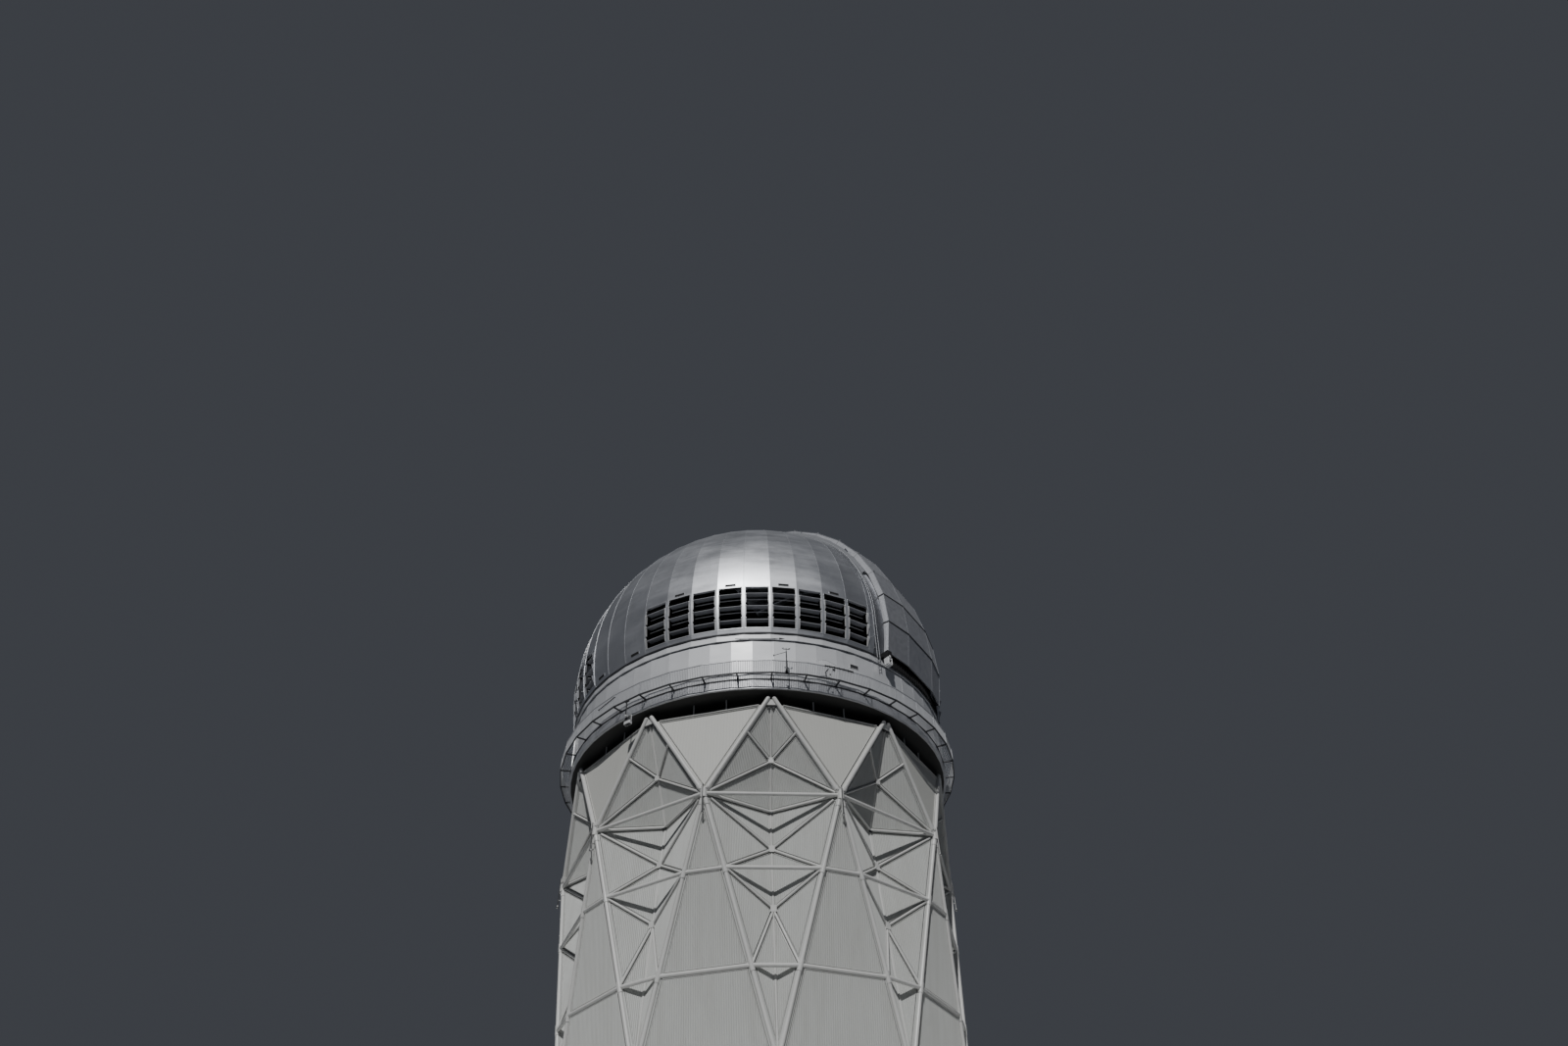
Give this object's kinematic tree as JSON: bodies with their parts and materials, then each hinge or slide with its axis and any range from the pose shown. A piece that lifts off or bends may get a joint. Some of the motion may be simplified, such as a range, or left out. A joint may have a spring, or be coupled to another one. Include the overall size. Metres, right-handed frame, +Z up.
{
  "type": "scale model of a telescope dome building at 1:2",
  "caption": "Half-size model of a large telescope dome building: folded steel tower with open tube bracing, railed walkway round a silver rim wall and a turning silver dome with an up-and-over shutter.",
  "frame": {"origin": "on the tower axis at ground level", "axes": "+Z up along the tower axis; -Y towards the middle of the folded bay that faces the camera; dome turned as in the picture"},
  "size_m": [16.8, 16.92, 29.0198],
  "materials": {
    "corrugated_cladding": "painted corrugated sheet",
    "flat_cladding": "matt off-white paint",
    "base_paint": "matt off-white paint",
    "tube_paint": "satin light grey paint",
    "dark_paint": "dark matt paint",
    "rail_steel": "worn rail steel",
    "rim_sheet": "weathered silver sheet below the walkway",
    "dark_steel": "dark weathered paint",
    "grating": "galvanised grating",
    "railing_paint": "grey painted bars",
    "silver_sheet": "weathered silver sheet",
    "louver_blade": "pale satin paint",
    "shutter_sheet": "weathered silver sheet",
    "ladder_metal": "pale galvanised bars",
    "fitting_paint": "off-white machine paint"
  },
  "bodies": {
    "tower": {"recess_facets": "corrugated_cladding", "flat_panels": "flat_cladding", "pier_panels": "corrugated_cladding", "base_wall": "base_paint", "tube_frame": "tube_paint", "inner_drum": "dark_paint", "dome_rail": "rail_steel", "gap_posts": "tube_paint", "rim_soffit": "dark_paint", "rim_band": "rim_sheet", "walkway_beams": "dark_steel", "walkway_deck": "grating", "walkway_railing": "railing_paint", "rim_wall": "silver_sheet", "wall_cap": "silver_sheet", "weather_mast": "dark_steel", "floodlight": "fitting_paint"},
    "dome": {"dome_shell": "silver_sheet", "dome_ring": "dark_steel", "louver_bank_front": "louver_blade", "louver_bank_side": "louver_blade", "louver_bank_back_left": "louver_blade", "louver_bank_back_right": "louver_blade", "slit_arch_right": "silver_sheet", "slit_arch_left": "silver_sheet", "dome_ladder": "ladder_metal", "drive_box": "fitting_paint"},
    "shutter": {"shutter": "shutter_sheet"}
  },
  "joints": [
    {"name": "dome_turn", "type": "hinge", "parent": "tower", "child": "dome", "pos_m": [0, 0, 18.31], "axis": [0, 0, 1], "continuous": true},
    {"name": "shutter_lift", "type": "hinge", "parent": "dome", "child": "shutter", "pos_m": [-0.1678, 0.1279, 20.449], "axis": [-0.606, -0.7955, 0], "range_deg": [0, 75]}
  ]
}
